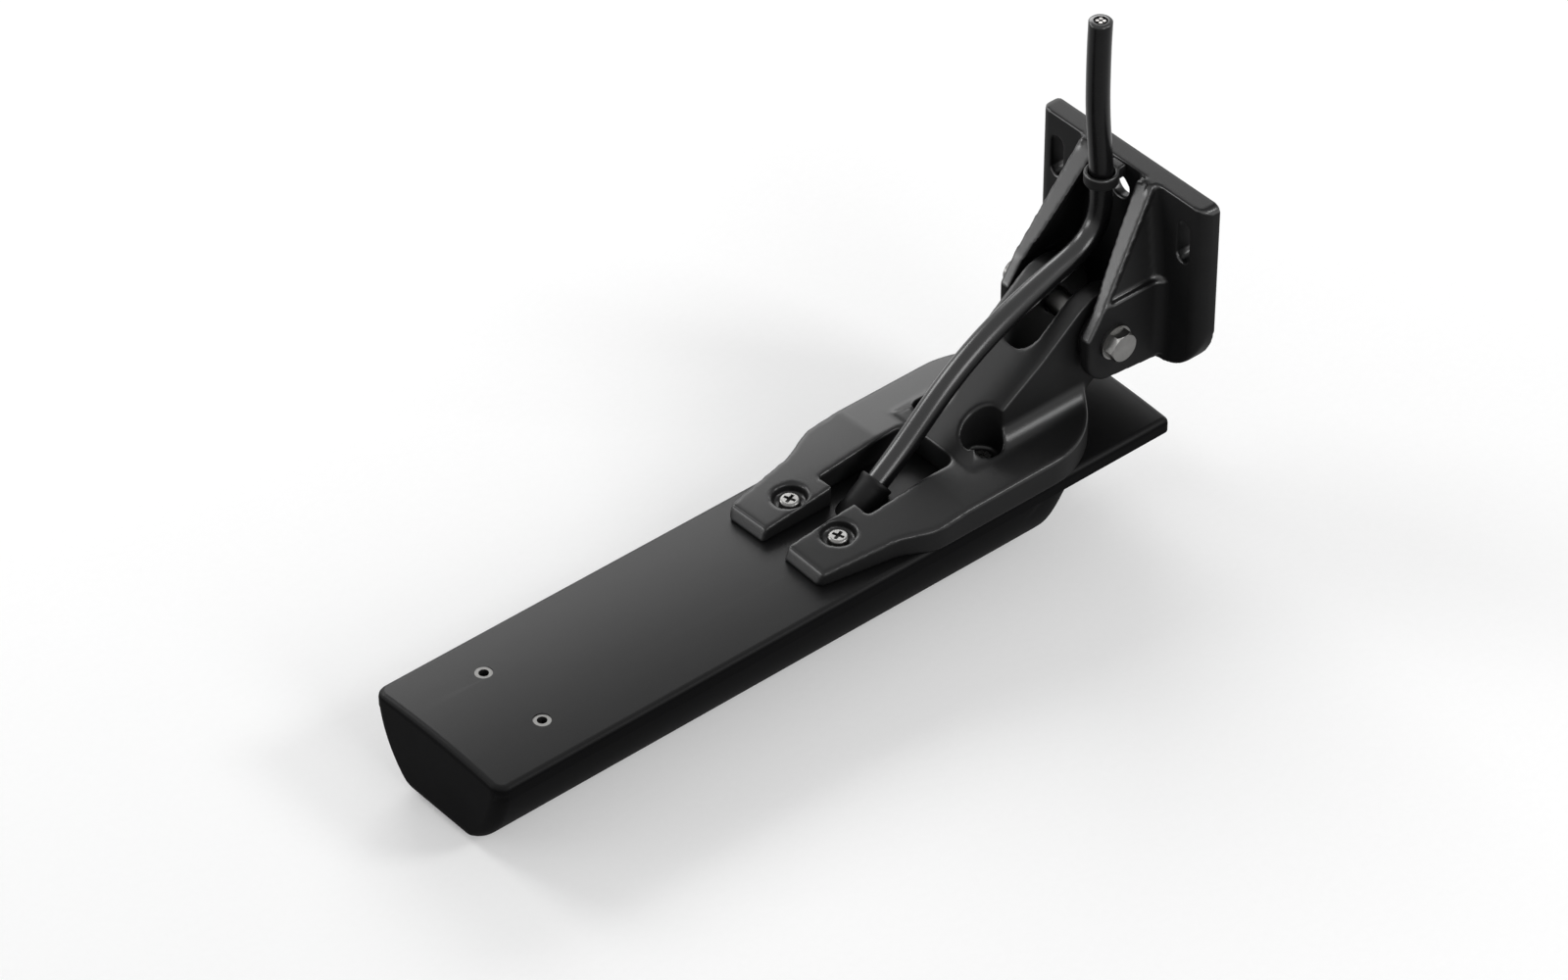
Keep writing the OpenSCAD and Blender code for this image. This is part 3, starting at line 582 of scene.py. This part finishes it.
def soften(obj, voxel, passes, keep):
    """Rounds every edge of a closed shell: even voxels, smoothing, then fewer faces."""
    remesh = obj.modifiers.new("even", "REMESH")
    remesh.mode = "VOXEL"
    remesh.voxel_size = voxel
    smooth = obj.modifiers.new("round", "SMOOTH")
    smooth.factor = 0.5
    smooth.iterations = passes
    fewer = obj.modifiers.new("fewer", "DECIMATE")
    fewer.ratio = keep
    bake_modifiers(obj)
    obj.data.shade_smooth()
    settle_normals(obj, False)


def thicken_rims(obj):
    """Adds a bar along the inner side of both ears' front edges, for the remesh to join to them."""
    work = bmesh.new()
    work.from_mesh(obj.data)
    for hand in (1.0, -1.0):
        ends = []
        for rise, growth in (RIM_LOW, RIM_HIGH):
            ring = []
            for ahead, inward in ((0.0, -RIM_LAP), (EAR_RIM, -RIM_LAP), (EAR_RIM, growth), (0.0, growth)):
                y = -EAR_THICK / 2.0 - inward
                ring.append(work.verts.new((
                    EAR_FOOT.x + EAR_SLOPE * rise + ahead,
                    hand * (EAR_FOOT.y + y * math.cos(EAR_LEAN) - rise * math.sin(EAR_LEAN)),
                    EAR_FOOT.z + y * math.sin(EAR_LEAN) + rise * math.cos(EAR_LEAN),
                )))
            ends.append(ring)
        faces = [work.faces.new(ring) for ring in ends]
        faces += bridge(work, ends[0], ends[1])
        bmesh.ops.recalc_face_normals(work, faces=faces)
    work.to_mesh(obj.data)
    work.free()


def lathe(name, profile, origin, axis, segments=64):
    """Closed solid of revolution from (radius, height) pairs round an axis."""
    work = bmesh.new()
    turn = Vector((0.0, 0.0, 1.0)).rotation_difference(axis).to_matrix().to_4x4()
    place = Matrix.Translation(origin) @ turn
    rings = []
    for radius, height in profile:
        ring = []
        for k in range(segments):
            angle = 2.0 * math.pi * k / segments
            point = Vector((radius * math.cos(angle), radius * math.sin(angle), height))
            ring.append(work.verts.new(place @ point))
        rings.append(ring)
    for a, b in zip(rings, rings[1:] + rings[:1]):
        bridge(work, a, b)
    return solid_object(name, work)


def smooth_line(points, steps):
    """Points on one smooth curve through the given points."""
    line = []
    count = len(points)
    for i in range(count - 1):
        p0 = points[max(i - 1, 0)]
        p1 = points[i]
        p2 = points[i + 1]
        p3 = points[min(i + 2, count - 1)]
        for s in range(steps):
            t = s / steps
            line.append(
                0.5 * ((2.0 * p1) + (p2 - p0) * t + (2.0 * p0 - 5.0 * p1 + 4.0 * p2 - p3) * t * t
                       + (3.0 * p1 - p0 - 3.0 * p2 + p3) * t * t * t)
            )
    line.append(points[-1].copy())
    return line


def cable_tube(name, line, radius):
    """Tube along a line in the plane of X and Z, with a cut end that shows filler and cores."""
    work = bmesh.new()
    side = Vector((0.0, 1.0, 0.0))

    def circle(centre, r, up, count):
        return [
            work.verts.new(centre + r * (math.cos(a) * side + math.sin(a) * up))
            for a in (2.0 * math.pi * k / count for k in range(count))
        ]

    def ring_at(i, r, lift=0.0):
        ahead = line[min(i + 1, len(line) - 1)] - line[max(i - 1, 0)]
        ahead.normalize()
        return circle(line[i] + ahead * lift, r, ahead.cross(side), CABLE_SIDES)

    last = len(line) - 1
    rings = [ring_at(i, radius) for i in range(last)]
    rings.append(ring_at(last, radius, -CUT_BEVEL))
    rings.append(ring_at(last, radius - CUT_BEVEL))
    rings.append(ring_at(last, radius - JACKET_WALL))
    rings.append(ring_at(last, radius - FILLER_INSET, -FILLER_DEPTH))
    for a, b in zip(rings, rings[1:]):
        bridge(work, a, b)
    work.faces.new(rings[0][::-1])
    work.faces.new(rings[-1]).material_index = 1
    ahead = (line[last] - line[last - 1]).normalized()
    up = ahead.cross(side)
    for k in range(CORE_COUNT):
        angle = math.pi / 4.0 + k * 2.0 * math.pi / CORE_COUNT
        outward = math.cos(angle) * side + math.sin(angle) * up
        centre = line[last] - ahead * FILLER_DEPTH + CORE_CIRCLE * outward
        ends = [circle(centre + ahead * lift, CORE_RADIUS, up, CORE_SIDES) for lift in CORE_ENDS]
        bridge(work, ends[0], ends[1], 2)
        work.faces.new(ends[1]).material_index = 2
        work.faces.new(ends[0][::-1]).material_index = 2
    return solid_object(name, work)


def soft_max(a, b, reach):
    """Larger of two values, with a round corner where they meet."""
    near = max(reach - abs(a - b), 0.0) / reach
    return max(a, b) + near * near * reach / 4.0


def hull_half_section(inset):
    """Points from the rim down the side and the bilge to the middle of the keel: across, up."""
    side_r = SIDE_RADIUS - inset
    bilge_r = BILGE_RADIUS - inset
    keel = HULL_KEEL + inset
    side_y = HULL_HALF - SIDE_RADIUS
    points = []
    lift = soft_max(BILGE_Z - bilge_r, keel, KEEL_SOFT) - keel
    start = math.asin((BILGE_Z - HULL_TOP) / bilge_r)
    for i in range(SIDE_STEPS + 1):
        angle = start + (0.5 * math.pi - start) * i / SIDE_STEPS
        z = BILGE_Z - bilge_r * math.sin(angle)
        side = side_y + math.sqrt(max(side_r * side_r - z * z, 0.0))
        across = -soft_max(-side, -bilge_r * math.cos(angle), SIDE_SOFT)
        rise = soft_max(z, keel, KEEL_SOFT) - keel
        height = keel + rise - lift * max(1.0 - (rise - lift) / KEEL_SOFT, 0.0)
        points.append((max(across, 0.0), height))
    return points


def hull_rings(inset):
    """Rings of the hull's skin from the aft end to the bow, drawn inside its outer face by the inset."""
    half = hull_half_section(inset)
    radius = max(AFT_RADIUS - inset, LEAST_RADIUS)
    bow_r = BOW_RADIUS - inset
    sweep_r = SWEEP_RADIUS - inset
    sweep_z = SWEEP_RADIUS + HULL_KEEL
    sweep_x = HULL_LENGTH - math.sqrt(SWEEP_RADIUS ** 2 - (sweep_z - HULL_TOP) ** 2)
    bow_end = sweep_x + math.sqrt(sweep_r ** 2 - (sweep_z - HULL_TOP) ** 2) - BOW_TRIM
    stations = []
    for i in range(AFT_STEPS + 1):
        stations.append(inset + radius * (1.0 - math.cos(0.5 * math.pi * i / AFT_STEPS)))
    for i in range(1, LENGTH_STEPS + 1):
        stations.append(inset + radius + (sweep_x - inset - radius) * i / LENGTH_STEPS)
    for i in range(1, BOW_STEPS + 1):
        stations.append(sweep_x + (bow_end - sweep_x) * math.sin(0.5 * math.pi * i / BOW_STEPS))
    rings = []
    for x in stations:
        gap = max(inset + radius - x, 0.0)
        shrink = radius - math.sqrt(max(radius * radius - gap * gap, 0.0))
        floor = HULL_KEEL + inset + shrink
        if x > sweep_x:
            rise = sweep_z - math.sqrt(max(sweep_r * sweep_r - (x - sweep_x) ** 2, 0.0))
            blend = min((x - sweep_x) / SWEEP_LEAD, 1.0)
            floor = min(rise - SWEEP_SOFT * (1.0 - blend), HULL_TOP)
        side = []
        for y, z in half:
            z = soft_max(z, floor, SWEEP_SOFT) if x > sweep_x else max(z, floor)
            z = min(z, HULL_TOP)
            y = max(y - shrink, 0.0)
            ahead = x - HULL_LENGTH - BOW_LEAD
            nose = ahead * math.cos(BOW_LEAN) - (z - HULL_TOP) * math.sin(BOW_LEAN) + inset
            if nose > -bow_r:
                reach = math.sqrt(max(bow_r * bow_r - (nose + bow_r) ** 2, 0.0)) if nose < 0.0 else 0.0
                limit = HULL_HALF - BOW_RADIUS + reach
                y = -soft_max(-y, -limit, BOW_SOFT)
            side.append((max(y, 0.0), z))
        ring = [(x, -y, z) for y, z in side] + [(x, y, z) for y, z in reversed(side[:-1])]
        rings.append([Vector((BODY_X + px, py, COVER_TOP + pz)) for px, py, pz in ring])
    return rings


def hull_skin(name):
    """Hollow hull with rounded aft edges, round sides and a swept bow."""
    work = bmesh.new()
    skins = []
    for inset in (0.0, HULL_WALL):
        rings = [[work.verts.new(point) for point in ring] for ring in hull_rings(inset)]
        for a, b in zip(rings, rings[1:]):
            for k in range(len(a) - 1):
                work.faces.new((a[k], a[k + 1], b[k + 1], b[k]))
        work.faces.new(rings[0])
        work.faces.new(rings[-1])
        skins.append(rings)
    rims = []
    for rings in skins:
        rims.append([ring[0] for ring in rings] + [ring[-1] for ring in reversed(rings)])
    bridge(work, rims[0], rims[1])
    bmesh.ops.remove_doubles(work, verts=work.verts, dist=1e-6)
    obj = solid_object(name, work)
    settle_normals(obj, True)
    return obj


def round_top_edge(obj, top, radius, box):
    """Rounds the outer upper edge of a flat lid."""
    work = bmesh.new()
    work.from_mesh(obj.data)
    bmesh.ops.dissolve_limit(
        work, angle_limit=math.radians(0.5), verts=work.verts, edges=work.edges,
        use_dissolve_boundaries=False,
    )
    low, high = box
    rim = []
    for edge in work.edges:
        if len(edge.link_faces) != 2 or any(abs(v.co.z - top) > 1e-6 for v in edge.verts):
            continue
        middle = (edge.verts[0].co + edge.verts[1].co) / 2.0
        near = min(middle.x - low[0], high[0] - middle.x, middle.y - low[1], high[1] - middle.y)
        flat = sum(1 for f in edge.link_faces if f.normal.z > 0.99)
        if flat == 1 and near < EDGE_REACH:
            rim.append(edge)
    if not rim:
        raise RuntimeError("the lid's upper edge wasn't found")
    bmesh.ops.bevel(
        work, geom=rim, offset=radius, offset_type="OFFSET", segments=EDGE_FACETS, profile=0.5,
        affect="EDGES", clamp_overlap=True,
    )
    work.to_mesh(obj.data)
    work.free()


def crown_fall(y, crown, half):
    """How far a crowned lid lies below its mean height: less than nothing along its middle."""
    return crown * ((y / half) ** 2 - 1.0 / 3.0)


def crown_lid(obj, top, crown, thick, half):
    """Bows the top of a flat lid across its width, and leaves its underside flat."""
    work = bmesh.new()
    work.from_mesh(obj.data)
    for i in range(1, CROWN_STRIPS):
        bmesh.ops.bisect_plane(
            work, geom=work.verts[:] + work.edges[:] + work.faces[:], dist=1e-7,
            plane_co=(0.0, half * (2.0 * i / CROWN_STRIPS - 1.0), 0.0), plane_no=(0.0, 1.0, 0.0),
        )
    for vert in work.verts:
        share = min(max((vert.co.z - top + thick) / thick, 0.0), 1.0)
        vert.co.z -= crown_fall(vert.co.y, crown, half) * share
    work.to_mesh(obj.data)
    work.free()


def shade_crown(obj, top, crown, half):
    """Gives a crowned top the normals of one smooth curve, and its flat walls their own."""
    mesh = obj.data
    normals = [corner.vector.copy() for corner in mesh.corner_normals]
    for face in mesh.polygons:
        crowned = face.normal.z > 0.99 and face.center.z > top - crown
        wall = max(abs(face.normal.x), abs(face.normal.y)) > 0.9999
        for k in face.loop_indices:
            if crowned:
                y = mesh.vertices[mesh.loops[k].vertex_index].co.y
                normals[k] = Vector((0.0, 2.0 * crown * y / half ** 2, 1.0)).normalized()
            elif wall:
                normals[k] = face.normal.copy()
    mesh.normals_split_custom_set(normals)


def seat_on_crown(obj, top, crown, half):
    """Bows the saddle with the lid that it stands on: wholly at its base, not at all near its top."""
    fade = SADDLE_STRAIGHT - SADDLE_BOWED
    for vert in obj.data.vertices:
        share = 1.0 - min(max((vert.co.z - top - SADDLE_BOWED) / fade, 0.0), 1.0)
        vert.co.z -= crown_fall(vert.co.y, crown, half) * share


# Operators


class TRANSDUCER_OT_body(Operator):
    """Dress the hull and the cover, with a rounded edge and a slight crown on the cover's top"""

    bl_idname = "transducer.body"
    bl_label = "Body"

    def execute(self, context):
        sizes = context.scene.transducer_sizes
        finish = context.scene.transducer_finish
        plastic = faced_plastic(
            "body_plastic", tuple(finish.body_colour), finish.body_roughness, BODY_SHEEN,
        )
        hull = hull_skin("hull_shell")
        dress(hull, plastic)
        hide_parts("hull")
        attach(hull, "transducer")
        cover = node_copy("top_cover", "cover_shell")
        round_top_edge(cover, COVER_TOP, sizes.cover_edge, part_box("top_cover"))
        crown_lid(cover, COVER_TOP, sizes.cover_crown, -HULL_TOP, HULL_HALF)
        cover.data.shade_smooth()
        cover.data.set_sharp_from_angle(angle=SHARP_COVER)
        settle_normals(cover, True)
        shade_crown(cover, COVER_TOP, sizes.cover_crown, HULL_HALF)
        dress(cover, plastic)
        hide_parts("top_cover")
        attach(cover, "transducer")
        return {"FINISHED"}


class TRANSDUCER_OT_saddle(Operator):
    """Round the saddle mount's moulded edges and dress it with its ratchet discs"""

    bl_idname = "transducer.saddle"
    bl_label = "Saddle Mount"

    def execute(self, context):
        sizes = context.scene.transducer_sizes
        finish = context.scene.transducer_finish
        plastic = faced_plastic(
            "saddle_plastic", tuple(finish.mount_colour), finish.mount_roughness, SADDLE_SHEEN,
        )
        saddle = node_copy("saddle_mount", "saddle_shell")
        soften(saddle, sizes.voxel, sizes.saddle_smoothing, MOULDING_KEEP)
        seat_on_crown(saddle, COVER_TOP, sizes.cover_crown, HULL_HALF)
        dress(saddle, plastic)
        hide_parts("saddle_mount")
        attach(saddle, "transducer")
        dress(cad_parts["ratchet_discs"], plastic)
        return {"FINISHED"}


class TRANSDUCER_OT_bracket(Operator):
    """Thicken the transom bracket's rims, round its moulded edges and dress it with its cable clip"""

    bl_idname = "transducer.bracket"
    bl_label = "Transom Bracket"

    def execute(self, context):
        sizes = context.scene.transducer_sizes
        finish = context.scene.transducer_finish
        plastic = faced_plastic(
            "bracket_plastic", tuple(finish.mount_colour), finish.mount_roughness, BRACKET_SHEEN,
        )
        for node, name, keep in (
            ("transom_bracket", "bracket_shell", MOULDING_KEEP),
            ("cable_clip", "clip_shell", CLIP_KEEP),
        ):
            shell = node_copy(node, name)
            if node == "transom_bracket":
                thicken_rims(shell)
            soften(shell, sizes.voxel, sizes.smoothing, keep)
            dress(shell, plastic)
            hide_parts(node)
            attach(shell, "bracket")
        return {"FINISHED"}


class TRANSDUCER_OT_cable(Operator):
    """Lead the cable out of the strain relief, over the pivot and up through the clip"""

    bl_idname = "transducer.cable"
    bl_label = "Cable"

    def execute(self, context):
        sizes = context.scene.transducer_sizes
        finish = context.scene.transducer_finish
        jacket = cable_jacket("cable_jacket", tuple(finish.jacket_colour))
        filler = moulded_plastic("cable_filler", FILLER, 0.7)
        core = bright_metal("core_tinned", TINNED)
        points = [Vector((x, 0.0, z)) for x, z in CABLE_ROUTE]
        line = smooth_line(points, CABLE_STEPS)
        cable = cable_tube("cable_jacket", line, sizes.cable_diameter / 2.0)
        for material in (jacket, filler, core):
            cable.data.materials.append(material)
        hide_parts("cable")
        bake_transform(cable)
        return {"FINISHED"}


class TRANSDUCER_OT_boot(Operator):
    """Turn the strain relief with a rolled lip"""

    bl_idname = "transducer.boot"
    bl_label = "Strain Relief"

    def execute(self, context):
        sizes = context.scene.transducer_sizes
        finish = context.scene.transducer_finish
        bore = sizes.cable_diameter / 2.0 + BOOT_PLAY
        body = BOOT_RADIUS
        lip = BOOT_LIP
        profile = [
            (bore, -BOOT_LENGTH), (body, -BOOT_LENGTH), (body, -0.0031), (body + 0.0001, -0.0028),
            (lip - 0.0001, -0.0014), (lip, -0.0011), (lip, -0.0005), (lip - 0.00015, -0.00015),
            (lip - 0.0005, 0.0), (bore + 0.0004, 0.0), (bore + 0.0001, -0.0001), (bore, -0.0004),
        ]
        boot = lathe("boot_sleeve", profile, BOOT_MOUTH, BOOT_AXIS)
        dress(boot, moulded_plastic("boot_rubber", tuple(finish.jacket_colour), 0.5, grain=3000.0))
        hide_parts("strain_relief")
        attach(boot, "transducer")
        return {"FINISHED"}


class TRANSDUCER_OT_hardware(Operator):
    """Give screws, pivot hardware and inserts their metals"""

    bl_idname = "transducer.hardware"
    bl_label = "Hardware"

    def execute(self, context):
        finish = context.scene.transducer_finish
        steel = stainless("stainless", tuple(finish.steel_colour))
        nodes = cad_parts
        for node in (
            "mount_screws", "pivot_bolt", "pivot_nut", "pivot_washers", "pivot_sleeve", "temperature_sensor",
        ):
            dress(nodes[node], steel)
        dull = tinted(finish.steel_colour, 0.8)
        dress(nodes["accessory_inserts"], stainless("insert_steel", dull, 0.4))
        dress(nodes["mount_inserts"], bright_metal("insert_brass", BRASS))
        return {"FINISHED"}


class TRANSDUCER_OT_inner(Operator):
    """Give the elements, board and cores inside the hull their materials"""

    bl_idname = "transducer.inner"
    bl_label = "Inner Pieces"

    def execute(self, context):
        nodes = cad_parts
        ceramic = fired_ceramic("ceramic")
        cork = cork_backing("cork")
        for side in ("round", "down", "left", "right"):
            dress(nodes[side + "_element"], ceramic)
            dress(nodes[side + "_backing"], cork)
        dress(nodes["element_carrier"], moulded_plastic("carrier_plastic", CARRIER, 0.55))
        dress(nodes["circuit_board"], laminate("board_laminate"))
        dress(nodes["board_chips"], moulded_plastic("chip_epoxy", EPOXY, 0.6))
        dress(nodes["board_standoffs"], bright_metal("standoff_brass", BRASS))
        dress(nodes["cable_cores"], bright_metal("wire_tinned", TINNED))
        return {"FINISHED"}


class TRANSDUCER_OT_stage(Operator):
    """Set the camera, the pale floor and the soft lamps"""

    bl_idname = "transducer.stage"
    bl_label = "Stage"

    def execute(self, context):
        stage = context.scene.transducer_stage
        scene = context.scene
        self.camera(scene, stage)
        self.floor(stage)
        self.lamps(scene, stage)
        scene.view_settings.view_transform = "Standard"
        return {"FINISHED"}

    def camera(self, scene, stage):
        data = bpy.data.cameras.new("photo_camera")
        data.lens = stage.lens
        data.sensor_width = 36.0
        data.clip_end = 50.0
        camera = bpy.data.objects.new("photo_camera", data)
        camera.location = CAMERA_PLACE
        camera.rotation_euler = CAMERA_TURN
        scene.collection.objects.link(camera)
        scene.camera = camera

    def floor(self, stage):
        work = bmesh.new()
        bmesh.ops.create_grid(work, x_segments=1, y_segments=1, size=FLOOR_HALF)
        bmesh.ops.translate(work, verts=work.verts, vec=FLOOR_CENTRE)
        mesh = bpy.data.meshes.new("floor")
        work.to_mesh(mesh)
        work.free()
        floor = add_object("floor", mesh)
        dress(floor, floor_paper("floor_paper", tuple(stage.floor_colour), stage.floor_glow))

    def lamps(self, scene, stage):
        world = bpy.data.worlds.new("even_light")
        scene.world = world
        world.use_nodes = True
        tree = world.node_tree
        sky = tree.nodes["Background"]
        sky.inputs["Color"].default_value = WHITE
        tree.links.new(spread(tree, seen_rays(tree), stage.sky, stage.backdrop), sky.inputs["Strength"])
        for name, offset, size, power in (
            ("back_softbox", (0.72, 1.06, 0.70), (1.00, 0.55), stage.back_lamp),
            ("rim_softbox", (-0.38, 1.15, 0.72), (0.50, 0.50), stage.rim_lamp),
            ("left_softbox", (-1.06, 0.76, 0.15), (0.70, 0.36), stage.left_lamp),
            ("front_softbox", (-0.14, -1.29, 0.53), (0.50, 0.50), stage.front_lamp),
            ("right_softbox", (0.70, -0.87, 0.84), (0.40, 0.40), stage.right_lamp),
        ):
            place = LAMP_AIM + Vector(offset)
            data = bpy.data.lights.new(name, "AREA")
            data.shape = "RECTANGLE"
            data.size = size[0]
            data.size_y = size[1]
            data.energy = power
            lamp = bpy.data.objects.new(name, data)
            lamp.location = place
            lamp.rotation_euler = (LAMP_AIM - place).to_track_quat("-Z", "Y").to_euler()
            scene.collection.objects.link(lamp)


class TRANSDUCER_PT_panel(Panel):
    """Sizes, finishes and pieces of the transducer"""

    bl_idname = "TRANSDUCER_PT_panel"
    bl_label = "Transducer"
    bl_space_type = "VIEW_3D"
    bl_region_type = "UI"
    bl_category = "Transducer"

    def draw(self, context):
        layout = self.layout
        for group in (
            context.scene.transducer_sizes, context.scene.transducer_finish, context.scene.transducer_stage,
        ):
            box = layout.box()
            for name in group.__annotations__:
                box.prop(group, name)
        column = layout.column(align=True)
        for operator in OPERATORS:
            column.operator(operator.bl_idname)


GROUPS = (TransducerSizes, TransducerFinish, TransducerStage)
OPERATORS = (
    TRANSDUCER_OT_stage,
    TRANSDUCER_OT_cable,
    TRANSDUCER_OT_boot,
    TRANSDUCER_OT_body,
    TRANSDUCER_OT_saddle,
    TRANSDUCER_OT_bracket,
    TRANSDUCER_OT_hardware,
    TRANSDUCER_OT_inner,
)
CLASSES = GROUPS + OPERATORS + (TRANSDUCER_PT_panel,)


def register():
    for cls in CLASSES:
        bpy.utils.register_class(cls)
    bpy.types.Scene.transducer_sizes = PointerProperty(type=TransducerSizes)
    bpy.types.Scene.transducer_finish = PointerProperty(type=TransducerFinish)
    bpy.types.Scene.transducer_stage = PointerProperty(type=TransducerStage)


def unregister():
    del bpy.types.Scene.transducer_stage
    del bpy.types.Scene.transducer_finish
    del bpy.types.Scene.transducer_sizes
    for cls in reversed(CLASSES):
        bpy.utils.unregister_class(cls)


def main():
    register()
    bpy.ops.transducer.stage()
    bpy.ops.transducer.cable()
    bpy.ops.transducer.boot()
    bpy.ops.transducer.body()
    bpy.ops.transducer.saddle()
    bpy.ops.transducer.bracket()
    bpy.ops.transducer.hardware()
    bpy.ops.transducer.inner()


if __name__ == "__main__":
    main()
